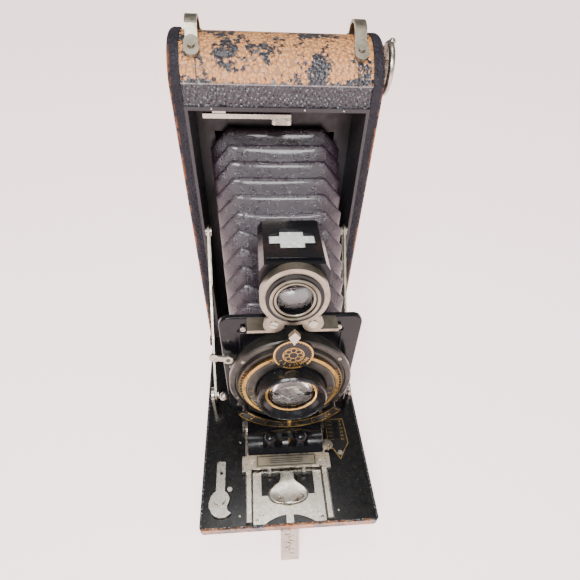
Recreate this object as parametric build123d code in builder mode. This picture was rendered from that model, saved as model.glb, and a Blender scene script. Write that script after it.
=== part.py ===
from build123d import *
import math
import os

# Folding roll-film bellows camera, standing upright with its bed down.
# X runs across the body, Y from the lens towards the film, Z up.
# The origin is the mouth of the tripod socket under the bed.

# ---- driving dimensions ----
# Everything is drawn in units of 1/95 of the body's width and saved at full size.
FULL_WIDTH = 121.0  # mm, body width of a camera for postcard-size pictures
BODY_W = 95.0
UNIT = FULL_WIDTH / BODY_W  # mm per drawing unit
BODY_D = 44.5
BODY_H = 192.0
END_RISE = 15.0  # height of each rounded end above the ridge where it starts
FRONT_Y = 85.0  # front plane of the body
BODY_BOTTOM = -22.0
SIDE_T = 5.5  # thickness of each side shell
SKIN_INSET = 0.8  # covered ends sit this far inside the side shells
SHELL_T = 1.5

BED_W = 90.0
BED_FRONT = -52.5
BED_REAR = 78.0  # rear end of the leather; the hinge barrel lies behind it
BED_T = 7.0
FLOOR_Z = 6.6  # lacquered inner face of the bed
HINGE_Y = 81.0
HINGE_Z = 3.5

BOARD_X = 2.5  # the lens board sits a little right of centre
LENS_Z = 51.0
BOARD_W = 66.0
BOARD_H = 69.0
BOARD_FRONT = 12.0
BOARD_T = 2.5
SHUTTER_R = 30.5
BEZEL_R = 17.0
GLASS_R = 11.7

FINDER_Z = 104.0
FINDER_W = 28.0
FINDER_R = 14.2

LINER_WALL = 1.5
LINER_BACK = 114.0
GATE_W = 64.0
GATE_H = 108.0
FILM_Y = 122.5
SPOOL_R = 9.8
SPOOL_L = 70.0
SOCKET_R = 3.175 / UNIT  # quarter-inch tripod thread
RUN_GAP = 0.06  # radial clearance of a running fit
EDGE_ROUND = 3.2  # rounding of each side shell's outer edge
BUSH_R = 6.5  # outside of both tripod bushes
SIDE_BUSH_DEPTH = 5.0
HINGE_PIN_R = 1.2
ROLLER_PIN_R = 1.1
KEY_SHAFT_R = 3.0
CENTRE_PIN_R = 1.5
CENTRE_GAP = 0.08  # radial clearance of a spool on its centre pins
CENTRE_DEPTH = 8.0  # depth of the bore in each end of a spool
WINDOW_R = 6.5  # red window in the back
PLATE_T = 0.9  # thickness of the track plate
BASE_RISE = 3.2  # underside of the carriage above the bed
BASE_T = 1.2

# ---- worked out from the above ----
SIDE_X = BODY_W / 2
INNER_X = SIDE_X - SIDE_T
MID_Y = FRONT_Y + BODY_D / 2
MID_Z = BODY_BOTTOM + BODY_H / 2
BACK_Y = FRONT_Y + BODY_D
SPOOL_Y = MID_Y
TOP_Z = MID_Z + BODY_H / 2
ARC_Z = TOP_Z - END_RISE  # ridge where the upper rounded end begins
SKIN_RISE = END_RISE - SKIN_INSET
SKIN_R = ((BODY_D / 2 - SKIN_INSET) ** 2 + SKIN_RISE**2) / (2 * SKIN_RISE)
SKIN_CENTRE_Z = ARC_Z + SKIN_RISE - SKIN_R
OPEN_TOP = MID_Z + 72.7
LINER_Z = OPEN_TOP - MID_Z
SPOOL_RISE = 83.2  # spool centres above and below the middle
ROLLER_RISE = 62.5
ROLLER_Y = 119.5
ROLLER_R = 3.2

STRUT_B = (23.0, 17.0)  # lower strut pivot on the bed, in (y, z)
STRUT_A = (88.0, 85.0)  # upper pin on the body, in (y, z)
STRUT_X = 38.3  # inner face of the strut
STRUT_T = 1.2
STRUT_PIN_R = 1.2
LEVER_PIVOT = (-24.8, 9.0)  # focus lever's pin, in (y, z)

os.makedirs("parts", exist_ok=True)


def save(piece, label):
    """Bring a finished piece to full size, label it and write its STEP file."""
    full_size = scale(piece.part, by=UNIT)
    full_size.label = label
    export_step(full_size, f"parts/{label}.step")


def block(x, y, z, mode=Mode.ADD):
    """A box given by its (low, high) pairs along X, Y and Z."""
    centre = ((x[0] + x[1]) / 2, (y[0] + y[1]) / 2, (z[0] + z[1]) / 2)
    with Locations(centre):
        Box(abs(x[1] - x[0]), abs(y[1] - y[0]), abs(z[1] - z[0]), mode=mode)


def rod_x(x, y, z, r, mode=Mode.ADD):
    """A round bar along X between the pair x, centred on (y, z)."""
    with Locations(Location(((x[0] + x[1]) / 2, y, z), (0, 90, 0))):
        Cylinder(r, abs(x[1] - x[0]), mode=mode)


def rod_y(x, y, z, r, mode=Mode.ADD):
    """A round bar along Y between the pair y, centred on (x, z)."""
    with Locations(Location((x, (y[0] + y[1]) / 2, z), (90, 0, 0))):
        Cylinder(r, abs(y[1] - y[0]), mode=mode)


def rod_z(x, y, z, r, mode=Mode.ADD):
    """A round bar along Z between the pair z, centred on (x, y)."""
    with Locations((x, y, (z[0] + z[1]) / 2)):
        Cylinder(r, abs(z[1] - z[0]), mode=mode)


def ball(x, y, z, r, mode=Mode.ADD):
    """A sphere centred on (x, y, z)."""
    with Locations((x, y, z)):
        Sphere(r, mode=mode)


def facing(y, x=BOARD_X, z=LENS_Z):
    """A sketch plane looking towards the subject: right is +X, up is +Z."""
    return Plane(origin=(x, y, z), x_dir=(1, 0, 0), z_dir=(0, -1, 0))


def turned(points):
    """Turn (radius, y) points about the lens axis."""
    with BuildSketch(Plane((BOARD_X, 0, LENS_Z))) as profile:
        with BuildLine():
            Polyline(*points, close=True)
        make_face()
    revolve(profile.sketch, axis=Axis((BOARD_X, 0, LENS_Z), (0, 1, 0)))


def dome(rim_r, rim_y, tip_y):
    """Middle point of a spherical cap's profile, from its rim to its tip."""
    rise = tip_y - rim_y
    ball_r = (rim_r**2 + rise**2) / (2 * abs(rise))
    half = math.asin(rim_r / ball_r) / 2
    return (ball_r * math.sin(half), tip_y - math.copysign(ball_r * (1 - math.cos(half)), rise))


def polar(r, angle):
    """A point at radius r and an angle in degrees, as (across, up)."""
    return (r * math.cos(math.radians(angle)), r * math.sin(math.radians(angle)))


RELEASE_PIVOT = polar(33.2, 154)  # release lever's pin, from the lens axis


# ------------------------------------------------------------------ body
def side_shell(label, side, key_hole):
    """Leather-covered side with arched ends and a rounded outer edge."""
    outer = side * SIDE_X
    inner = side * INNER_X
    with BuildPart() as shell:
        with BuildSketch(Plane.YZ.offset(min(outer, inner))):
            with BuildLine():
                low_ridge = 2 * MID_Z - ARC_Z
                Line((FRONT_Y, low_ridge), (FRONT_Y, ARC_Z))
                ThreePointArc((FRONT_Y, ARC_Z), (MID_Y, TOP_Z), (BACK_Y, ARC_Z))
                Line((BACK_Y, ARC_Z), (BACK_Y, low_ridge))
                ThreePointArc((BACK_Y, low_ridge), (MID_Y, BODY_BOTTOM), (FRONT_Y, low_ridge))
            make_face()
        extrude(amount=SIDE_T)
        outer_face = shell.faces().sort_by(Axis.X)[-1 if side > 0 else 0]
        fillet(outer_face.edges(), EDGE_ROUND)
        if key_hole:
            rod_x((inner, outer), SPOOL_Y, MID_Z + SPOOL_RISE, KEY_SHAFT_R + RUN_GAP, Mode.SUBTRACT)
        else:
            rod_x((outer, outer + SIDE_BUSH_DEPTH), MID_Y, MID_Z, BUSH_R, Mode.SUBTRACT)
    save(shell, label)


def chamber_shell(label, up):
    """Film chamber: a front band, an arched end and a short back lip."""
    front = FRONT_Y + SKIN_INSET
    back = BACK_Y - SKIN_INSET
    start = MID_Z + up * LINER_Z
    bend = MID_Z + up * (ARC_Z - MID_Z)
    crown = bend + up * SKIN_RISE
    with BuildPart() as shell:
        with BuildSketch(Plane.YZ.offset(-INNER_X)):
            with BuildLine():
                Line((front, start), (front, bend))
                ThreePointArc((front, bend), (MID_Y, crown), (back, bend))
                Line((back, bend), (back - SHELL_T, bend))
                ThreePointArc(
                    (back - SHELL_T, bend), (MID_Y, crown - up * SHELL_T), (front + SHELL_T, bend)
                )
                Line((front + SHELL_T, bend), (front + SHELL_T, start))
                Line((front + SHELL_T, start), (front, start))
            make_face()
        extrude(amount=2 * INNER_X)
    save(shell, label)


def opening_liner():
    """Black metal box that lines the opening and carries the bellows."""
    low, high = MID_Z - LINER_Z, MID_Z + LINER_Z
    with BuildPart() as liner:
        block((-INNER_X, INNER_X), (FRONT_Y, LINER_BACK + LINER_WALL), (low, high))
        wall = LINER_WALL
        block(
            (-INNER_X + wall, INNER_X - wall),
            (FRONT_Y - 1, LINER_BACK),
            (low + wall, high - wall),
            Mode.SUBTRACT,
        )
        block(
            (-GATE_W / 2, GATE_W / 2),
            (LINER_BACK - 1, LINER_BACK + 3),
            (MID_Z - GATE_H / 2, MID_Z + GATE_H / 2),
            Mode.SUBTRACT,
        )
    save(liner, "opening_liner")


def film_gate():
    """Exposure frame behind the liner, with ears for the two rollers."""
    rim = 4.0
    ear_x = (35.6, 37.4)
    with BuildPart() as gate:
        block(
            (-GATE_W / 2 - rim, GATE_W / 2 + rim),
            (LINER_BACK + LINER_WALL, FILM_Y),
            (MID_Z - GATE_H / 2 - rim, MID_Z + GATE_H / 2 + rim),
        )
        for side in (-1, 1):
            for up in (-1, 1):
                root = MID_Z + up * (GATE_H / 2 + rim - 6)
                tip = MID_Z + up * (ROLLER_RISE + 3.0)
                x = (side * ear_x[0], side * ear_x[1])
                block(x, (ROLLER_Y - 3, ROLLER_Y + 3), (root, tip))
                rod_x(x, ROLLER_Y, MID_Z + up * ROLLER_RISE, ROLLER_PIN_R, Mode.SUBTRACT)
        block(
            (-GATE_W / 2, GATE_W / 2),
            (LINER_BACK, FILM_Y + 1),
            (MID_Z - GATE_H / 2, MID_Z + GATE_H / 2),
            Mode.SUBTRACT,
        )
    save(gate, "film_gate")


def roller(label, up):
    """Film guide roller with turned-down ends running in the gate ears."""
    z = MID_Z + up * ROLLER_RISE
    with BuildPart() as piece:
        rod_x((-35.3, 35.3), ROLLER_Y, z, ROLLER_R)
        rod_x((-37.2, 37.2), ROLLER_Y, z, ROLLER_PIN_R - RUN_GAP)
    save(piece, label)


def latch_bar():
    """Spring bar inside the top of the opening, with its thumb tab."""
    z = OPEN_TOP - LINER_WALL
    with BuildPart() as bar:
        block((-34.5, 6.0), (FRONT_Y + 2.5, FRONT_Y + 5.5), (z - 3.6, z - 1.8))
        block((-30.0, -24.0), (FRONT_Y + 3.0, FRONT_Y + 5.0), (z - 1.8, z))
        with BuildSketch(Plane.XY.offset(z - 5.4)):
            with Locations((1.6, FRONT_Y + 2.6)):
                SlotOverall(10.0, 4.6)
        extrude(amount=1.8)
    save(bar, "latch_bar")


def strap_loops():
    """Two raised metal keepers over the crown, each riveted fore and aft."""
    crown = ARC_Z + SKIN_RISE
    half = 2.6
    rise = 5.4
    with BuildPart() as loops:
        for side in (-1, 1):
            x = side * 36.5
            with BuildSketch(Plane.YZ.offset(x - half)):
                with BuildLine():
                    Line((MID_Y - 9.4, crown - 2), (MID_Y - 6.5, crown + rise - 2))
                    ThreePointArc(
                        (MID_Y - 6.5, crown + rise - 2),
                        (MID_Y, crown + rise),
                        (MID_Y + 6.5, crown + rise - 2),
                    )
                    Line((MID_Y + 6.5, crown + rise - 2), (MID_Y + 9.4, crown - 2))
                    Line((MID_Y + 9.4, crown - 2), (MID_Y + 8.2, crown - 2))
                    Line((MID_Y + 8.2, crown - 2), (MID_Y + 5.4, crown + rise - 3))
                    ThreePointArc(
                        (MID_Y + 5.4, crown + rise - 3),
                        (MID_Y, crown + rise - 1.2),
                        (MID_Y - 5.4, crown + rise - 3),
                    )
                    Line((MID_Y - 5.4, crown + rise - 3), (MID_Y - 8.2, crown - 2))
                    Line((MID_Y - 8.2, crown - 2), (MID_Y - 9.4, crown - 2))
                make_face()
            extrude(amount=2 * half)
            for fore in (-1, 1):
                foot_plane = Plane(
                    origin=(x, MID_Y, SKIN_CENTRE_Z),
                    x_dir=(1, 0, 0),
                    z_dir=(0, fore * math.sin(math.radians(32)), math.cos(math.radians(32))),
                )
                with BuildSketch(foot_plane.offset(SKIN_R - 0.4)):
                    SlotOverall(10.0, 6.2, rotation=90)
                extrude(amount=1.5)
                with BuildSketch(foot_plane.offset(SKIN_R + 1.1)):
                    Circle(1.5)
                extrude(amount=0.8)
        rod_x((-INNER_X, INNER_X), MID_Y, SKIN_CENTRE_Z, SKIN_R, Mode.SUBTRACT)
    save(loops, "strap_loops")


def hinge_lugs():
    """Two ears at the foot of the body that carry the bed hinge pin."""
    with BuildPart() as lugs:
        for side in (-1, 1):
            x = (side * 45.4, side * 47.4)
            block(x, (HINGE_Y - 1, FRONT_Y), (HINGE_Z - 3, HINGE_Z + 3))
            rod_x(x, HINGE_Y, HINGE_Z, 3.0)
            rod_x(x, HINGE_Y, HINGE_Z, HINGE_PIN_R, Mode.SUBTRACT)
    save(lugs, "hinge_lugs")
    with BuildPart() as pin:
        rod_x((-47.4, 47.4), HINGE_Y, HINGE_Z, HINGE_PIN_R)
    save(pin, "bed_hinge_pin")


def side_tripod_bush():
    """Second tripod socket, let into the left side."""
    with BuildPart() as bush:
        rod_x((-SIDE_X, -SIDE_X + SIDE_BUSH_DEPTH), MID_Y, MID_Z, BUSH_R)
        rod_x((-SIDE_X, -SIDE_X + SIDE_BUSH_DEPTH), MID_Y, MID_Z, SOCKET_R, Mode.SUBTRACT)
    save(bush, "side_tripod_bush")


def spool_centres():
    """Centre pins that the spools turn on, and the plate round the key."""
    ends = ((-1, 1), (-1, -1), (1, -1))
    with BuildPart() as pins:
        for side, up in ends:
            z = MID_Z + up * SPOOL_RISE
            rod_x((side * INNER_X, side * (SPOOL_L / 2 + 0.6)), SPOOL_Y, z, 4.0)
            rod_x((side * INNER_X, side * (SPOOL_L / 2 - 5)), SPOOL_Y, z, CENTRE_PIN_R)
        rod_x((SIDE_X, SIDE_X + 1.0), SPOOL_Y, MID_Z + SPOOL_RISE, 8.0)
        rod_x((SIDE_X, SIDE_X + 1.0), SPOOL_Y, MID_Z + SPOOL_RISE, 3.4, Mode.SUBTRACT)
    save(pins, "spool_centres")


def strut_pins():
    """Headed pins on the opening liner; the slotted struts ride on them."""
    wall = INNER_X - LINER_WALL
    with BuildPart() as pins:
        for side in (-1, 1):
            rod_x((side * wall, side * 37.2), STRUT_A[0], STRUT_A[1], STRUT_PIN_R)
            rod_x((side * 38.0, side * 37.2), STRUT_A[0], STRUT_A[1], 2.7)
            rod_x((side * wall, side * 39.9), STRUT_A[0], STRUT_A[1], 2.7)
    save(pins, "strut_pins")


def spool(label, up, driven):
    """Film spool: round core with a thin flange at each end."""
    z = MID_Z + up * SPOOL_RISE
    half = SPOOL_L / 2
    with BuildPart() as piece:
        rod_x((-half, half), SPOOL_Y, z, 5.5)
        for side in (-1, 1):
            rod_x((side * half, side * (half - 0.8)), SPOOL_Y, z, SPOOL_R)
        rod_x((-half, -half + CENTRE_DEPTH), SPOOL_Y, z, CENTRE_PIN_R + CENTRE_GAP, Mode.SUBTRACT)
        if not driven:
            rod_x((half - CENTRE_DEPTH, half), SPOOL_Y, z, CENTRE_PIN_R + CENTRE_GAP, Mode.SUBTRACT)
    save(piece, label)


def winding_key():
    """Ring-shaped key with a cross bar, on the shaft that turns the spool."""
    z = MID_Z + SPOOL_RISE
    with BuildPart() as key:
        rod_x((SPOOL_L / 2, 51.0), SPOOL_Y, z, KEY_SHAFT_R)
        rod_x((48.9, 52.2), SPOOL_Y, z, 4.6)
        block((50.6, 52.6), (SPOOL_Y - 2.2, SPOOL_Y + 2.2), (z - 9, z + 9))
        with Locations(Location((52.2, SPOOL_Y, z), (0, 90, 0))):
            Torus(9.2, 1.5)
        ball(53.0, SPOOL_Y, z + 10.0, 1.6)
    save(key, "winding_key")


def back():
    """Lift-off back with a pressure plate, ruby window and sliding catch."""
    window_z = MID_Z - 38.0
    half_x = INNER_X - 0.2
    cover_y = (BACK_Y - 2.1, BACK_Y - 0.3)
    plate_y = (FILM_Y + 1.2, FILM_Y + 2.4)
    with BuildPart() as cover:
        block((-half_x, half_x), cover_y, (MID_Z - 80.7, MID_Z + 80.7))
        rod_y(0, cover_y, window_z, WINDOW_R, Mode.SUBTRACT)
    save(cover, "back_cover")
    with BuildPart() as plate:
        block((-35, 35), plate_y, (MID_Z - 57, MID_Z + 57))
        for up in (-1, 1):
            block((-3, 3), (plate_y[1], cover_y[0]), (MID_Z + up * 14, MID_Z + up * 26))
        rod_y(0, plate_y, window_z, 5.0, Mode.SUBTRACT)
    save(plate, "pressure_plate")
    with BuildPart() as window:
        rod_y(0, (cover_y[0], cover_y[0] + 1.3), window_z, WINDOW_R)
    save(window, "ruby_window")
    catch_z = MID_Z - 72.0
    with BuildPart() as catch:
        catch_y = (cover_y[1] + 0.2, cover_y[1] + 1.2)
        block((-8, 8), catch_y, (catch_z - 3, catch_z + 3))
        with Locations((0, catch_y[1], catch_z)):
            with GridLocations(3.0, 1.0, 3, 1):
                Box(1.0, 1.6, 5.0)
    save(catch, "back_catch")


# ------------------------------------------------------------------- bed
def bed():
    """Bed: lacquered metal panel in a leather-covered tray."""
    edge = BED_W / 2
    with BuildPart() as leather:
        with BuildSketch(Plane.XY):
            with Locations((0, (BED_REAR + BED_FRONT) / 2)):
                RectangleRounded(BED_W, BED_REAR - BED_FRONT, 2.0)
        extrude(amount=BED_T)
        fillet(leather.faces().sort_by(Axis.Z)[0].edges(), 1.6)
        block(
            (-edge + 1.2, edge - 1.2),
            (BED_FRONT + 1.2, BED_REAR + 2),
            (2.0, BED_T + 1),
            Mode.SUBTRACT,
        )
        rod_z(0, 0, (0, 2), BUSH_R, Mode.SUBTRACT)
    save(leather, "bed_leather")
    with BuildPart() as panel:
        block((-edge + 1.2, edge - 1.2), (BED_FRONT + 1.2, BED_REAR), (2.0, FLOOR_Z))
        block((-edge + 0.4, edge - 0.4), (BED_REAR, HINGE_Y), (0.4, FLOOR_Z))
        rod_x((-edge + 0.4, edge - 0.4), HINGE_Y, HINGE_Z, 3.1)
        rod_x((-edge, edge), HINGE_Y, HINGE_Z, HINGE_PIN_R + RUN_GAP, Mode.SUBTRACT)
        rod_z(0, 0, (0, BED_T), BUSH_R, Mode.SUBTRACT)
    save(panel, "bed_panel")
    with BuildPart() as bush:
        rod_z(0, 0, (0, FLOOR_Z - 0.2), BUSH_R)
        rod_z(0, 0, (0, 5.6), SOCKET_R, Mode.SUBTRACT)
    save(bush, "bed_tripod_bush")


def focus_rails():
    """Two half-round rails that the standard slides along."""
    with BuildPart() as rails:
        for side in (-1, 1):
            with BuildSketch(Plane.XZ.offset(50.5)):
                with Locations((side * 20.4, FLOOR_Z + 1.5)):
                    RectangleRounded(3.8, 3.0, 0.9)
            extrude(amount=-126.0)
    save(rails, "focus_rails")


def track_plate():
    """Front plate between the rails, with a window and a concave front."""
    with BuildPart() as plate:
        block((-18.3, 18.3), (-51.2, -14.0), (FLOOR_Z, FLOOR_Z + PLATE_T))
        block((-14.0, 14.0), (-37.0, -24.0), (FLOOR_Z, FLOOR_Z + 1), Mode.SUBTRACT)
        rod_z(0, -68.0, (FLOOR_Z, FLOOR_Z + 2), 21.0, Mode.SUBTRACT)
        block((-1.8, 1.8), (-51.2, -45.0), (FLOOR_Z, FLOOR_Z + PLATE_T))
    save(plate, "track_plate")


def focus_scale_plate():
    """Shield-shaped distance scale beside the right rail."""
    with BuildPart() as plate:
        with BuildSketch(Plane.XY.offset(FLOOR_Z)):
            with BuildLine():
                Polyline((24.8, 9.0), (36.4, 9.0), (37.2, -8.5), (34.6, -12.0))
                ThreePointArc((34.6, -12.0), (32.6, -17.0), (30.8, -19.0))
                ThreePointArc((30.8, -19.0), (28.8, -16.6), (27.4, -12.4))
                Polyline((27.4, -12.4), (24.6, -9.4), (24.8, 9.0))
            make_face()
            with Locations((31.0, 1.5)):
                SlotOverall(13.0, 2.6, rotation=90, mode=Mode.SUBTRACT)
        extrude(amount=0.5)
    save(plate, "focus_scale_plate")


def bed_fasteners():
    """Rivets, screws and small studs set in the bed."""
    plate_top = FLOOR_Z + PLATE_T
    spots = ((-14.2, -45.6, 1.5), (13.4, -45.6, 1.5), (-12.6, -39.3, 1.0))
    with BuildPart() as heads:
        for x, y, r in spots:
            rod_z(x, y, (plate_top, plate_top + 0.7), r)
        rod_z(31.0, -14.2, (FLOOR_Z + 0.5, FLOOR_Z + 1.3), 1.4)
        rod_z(-30.4, -32.4, (FLOOR_Z, FLOOR_Z + 1.6), 1.3)
        rod_z(-35.4, -37.7, (FLOOR_Z, FLOOR_Z + 2.6), 1.5)
        rod_z(-35.4, -37.7, (FLOOR_Z + 2.1, FLOOR_Z + 3.0), 3.0)
    save(heads, "bed_fasteners")


def bed_catch():
    """Hooked lever that holds the closed bed to the bar in the body."""
    pivot = (-35.4, -37.7)
    with BuildPart() as lever:
        with BuildSketch(Plane.XY.offset(FLOOR_Z + 0.4)):
            with Locations(pivot):
                Circle(4.9)
            with Locations((-35.2, -25.8)):
                RectangleRounded(4.6, 18.6, 1.0)
            with BuildLine():
                Line((-40.3, -37.7), (-30.5, -37.7))
                Line((-30.5, -37.7), (-31.6, -41.2))
                ThreePointArc((-31.6, -41.2), (-31.2, -43.4), (-29.6, -44.6))
                ThreePointArc((-29.6, -44.6), (-35.6, -46.9), (-39.8, -43.2))
                ThreePointArc((-39.8, -43.2), (-40.8, -40.5), (-40.3, -37.7))
            make_face()
            with Locations(pivot):
                Circle(1.5 + RUN_GAP, mode=Mode.SUBTRACT)
            with Locations((-35.0, -23.4)):
                Circle(0.9, mode=Mode.SUBTRACT)
        extrude(amount=1.4)
    save(lever, "bed_catch_lever")


def foot():
    """Folding foot that props the bed, with its bracket under the bed."""
    top = (-49.0, -1.9)
    tip = (-60.7, BODY_BOTTOM)
    lean = math.degrees(math.atan2(top[0] - tip[0], top[1] - tip[1]))
    length = math.hypot(top[0] - tip[0], top[1] - tip[1])
    with BuildPart() as bracket:
        for side in (-1, 1):
            x = (side * 5.1, side * 6.5)
            block(x, (top[0] - 1.9, top[0] + 1.9), (top[1], 0))
            rod_x(x, top[0], top[1], 1.9)
        rod_x((-6.5, 6.5), top[0], top[1], 0.8)
    save(bracket, "foot_bracket")
    leg_plane = Plane(
        origin=(0, top[0], top[1]),
        x_dir=(1, 0, 0),
        z_dir=(0, -math.cos(math.radians(lean)), math.sin(math.radians(lean))),
    )
    with BuildPart() as leg:
        with BuildSketch(leg_plane):
            with Locations((0, -length / 2 + 0.25)):
                Rectangle(9.6, length - 0.5)
        extrude(amount=0.8, both=True)
        for side in (-1, 1):
            with BuildSketch(leg_plane.offset(0.8)):
                with Locations((side * 4.2, -length / 2 - 0.8)):
                    Rectangle(1.2, length - 4.0)
            extrude(amount=0.5)
        rod_x((-4.8, 4.8), top[0], top[1], 1.6)
        rod_x((-4.9, 4.9), top[0], top[1], 0.8 + RUN_GAP, Mode.SUBTRACT)
    save(leg, "foot")


def struts():
    """Slotted side struts and the bed ears that they pivot on."""
    run = (STRUT_A[0] - STRUT_B[0], STRUT_A[1] - STRUT_B[1])
    reach = math.hypot(*run)
    tilt = math.degrees(math.atan2(run[1], run[0]))
    slot_half = 2.15
    slot_run = 29.5
    with BuildPart() as pair:
        for side in (-1, 1):
            inner = side * STRUT_X
            plane = Plane(
                origin=(min(inner, inner + side * STRUT_T), STRUT_B[0], STRUT_B[1]),
                x_dir=(0, math.cos(math.radians(tilt)), math.sin(math.radians(tilt))),
                z_dir=(1, 0, 0),
            )
            with BuildSketch(plane):
                with Locations((reach / 2, 0)):
                    SlotCenterToCenter(reach, 7.2)
                with Locations((reach - slot_run / 2, 0)):
                    SlotCenterToCenter(slot_run, 2 * slot_half, mode=Mode.SUBTRACT)
                with Locations((0, 0)):
                    Circle(STRUT_PIN_R + RUN_GAP, mode=Mode.SUBTRACT)
            extrude(amount=STRUT_T)
    save(pair, "side_struts")
    with BuildPart() as ears:
        for side in (-1, 1):
            x = (side * 39.8, side * 41.4)
            block(x, (STRUT_B[0] - 4.5, STRUT_B[0] + 4.5), (FLOOR_Z, STRUT_B[1]))
            rod_x(x, STRUT_B[0], STRUT_B[1], 4.5)
            rod_x((side * 37.3, side * 41.4), STRUT_B[0], STRUT_B[1], STRUT_PIN_R)
            rod_x((side * 37.3, side * 38.0), STRUT_B[0], STRUT_B[1], 2.7)
    save(ears, "strut_ears")


# -------------------------------------------------------------- standard
def carriage():
    """Rounded black block on a nickel base that clasps the rails."""
    base_z = FLOOR_Z + BASE_RISE
    with BuildPart() as base:
        block((-20.3, 20.3), (-23.0, 18.0), (base_z, base_z + BASE_T))
        for side in (-1, 1):
            block((side * 19.0, side * 23.8), (-24.5, -15.5), (base_z, base_z + BASE_T))
            block((side * 22.7, side * 23.8), (-24.5, -15.5), (base_z - 2.4, base_z + BASE_T))
            block((side * 22.7, side * 23.8), (2.0, 18.0), (base_z - 2.4, base_z + BASE_T))
            block((side * 19.0, side * 23.8), (2.0, 18.0), (base_z, base_z + BASE_T))
        with BuildSketch(Plane.XY.offset(base_z)):
            with Locations((23.5, -10.5)):
                Circle(3.4)
        extrude(amount=1.0)
        for side in (-1, 1):
            eye = (side * 8.5, side * 10.0)
            block(eye, (LEVER_PIVOT[0] - 1.6, -22.9), (LEVER_PIVOT[1] - 1.2, base_z + BASE_T))
            rod_x(eye, *LEVER_PIVOT, 0.9 + RUN_GAP, Mode.SUBTRACT)
    save(base, "carriage_base")
    top = base_z + BASE_T
    crest = 17.2
    with BuildPart() as body:
        with BuildSketch(Plane.YZ.offset(-20.5)):
            with BuildLine():
                Polyline((-15.0, top), (BOARD_FRONT, top), (BOARD_FRONT, crest), (-4.0, crest))
                ThreePointArc((-4.0, crest), (-11.2, 15.2), (-15.0, top))
            make_face()
        extrude(amount=41.0)
        for side in (-1, 1):
            x = (side * 1.6, side * 12.4)
            block(x, (-14.0, -5.4), (14.0, crest + 1), Mode.SUBTRACT)
    save(body, "carriage_block")
    with BuildPart() as plate:
        block((-16.5, 16.5), (-22.8, -15.6), (top, top + 0.6))
    save(plate, "number_plate")
    for side, label in ((-1, "pinch_knob_left"), (1, "pinch_knob_right")):
        with BuildPart() as knob:
            ball(side * 8.2, -9.6, 19.2, 3.6)
            block((side * 6.2, side * 10.2), (-11.4, -7.8), (14.3, 18.0))
        save(knob, label)


def lens_board():
    """Upright plate that carries the shutter, with a raised inner panel."""
    with BuildPart() as board:
        with BuildSketch(facing(BOARD_FRONT + BOARD_T, z=52.5)):
            RectangleRounded(BOARD_W, BOARD_H, 5.0)
        extrude(amount=BOARD_T)
        fillet(board.faces().sort_by(Axis.Y)[0].edges(), 0.8)
        with BuildSketch(facing(BOARD_FRONT, z=52.5)):
            RectangleRounded(50.0, 55.0, 2.0)
        extrude(amount=0.8)
        rod_y(BOARD_X, (0, 20), LENS_Z, 12.0, Mode.SUBTRACT)
    save(board, "lens_board")
    edge = BOARD_X - BOARD_W / 2
    with BuildPart() as stud:
        rod_x((edge - 2.0, edge), 13.2, 28.0, 1.0)
        ball(edge - 2.4, 13.2, 28.0, 2.6)
        block((edge - 20, edge), (5, 20), (0, 24), Mode.SUBTRACT)
        block((edge, edge + 4), (5, 20), (20, 40), Mode.SUBTRACT)
    save(stud, "board_stud")


def shutter():
    """Between-lens shutter: case, stepped face rings, blades and iris."""
    with BuildPart() as case:
        turned(
            ((12.3, 11.2), (28.5, 11.2), (28.5, 6.0), (17.2, 6.0), (17.2, 7.0), (27.3, 7.0),
             (27.3, 10.2), (12.3, 10.2))
        )
        ear = RELEASE_PIVOT
        with BuildSketch(facing(9.0)):
            with Locations(ear):
                Circle(2.6)
            with Locations(polar(29.8, 154)):
                Rectangle(7.0, 5.2, rotation=154)
            Circle(28.4, mode=Mode.SUBTRACT)
        extrude(amount=1.5)
        rod_y(BOARD_X + ear[0], (6.1, 7.5), LENS_Z + ear[1], 1.0)
    save(case, "shutter_case")
    with BuildPart() as rings:
        turned(
            ((17.2, 6.0), (SHUTTER_R, 6.0), (SHUTTER_R, 3.0), (29.8, 2.4), (27.8, 2.4),
             (27.2, 3.2), (26.6, 3.2), (26.0, 1.2), (23.6, 1.2), (23.0, 2.2), (22.2, 2.2),
             (22.0, -0.6), (21.4, -1.1), (18.0, -1.1), (17.2, -0.6))
        )
    save(rings, "shutter_rings")
    with BuildPart() as blades:
        for blade in range(3):
            with BuildSketch(facing(9.9 - 0.4 * blade)):
                with Locations(polar(5.4, 90 + 120 * blade)):
                    Circle(11.5)
                with Locations(polar(18.0, 60 + 120 * blade)):
                    Circle(3.0)
                with Locations(polar(13.0, 70 + 120 * blade)):
                    Circle(4.5)
            extrude(amount=0.25)
    save(blades, "shutter_blades")
    with BuildPart() as iris:
        with BuildSketch(facing(8.0)):
            Circle(16.0)
            RegularPolygon(7.0, 8, mode=Mode.SUBTRACT)
        extrude(amount=0.6)
    save(iris, "iris_leaves")


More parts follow.
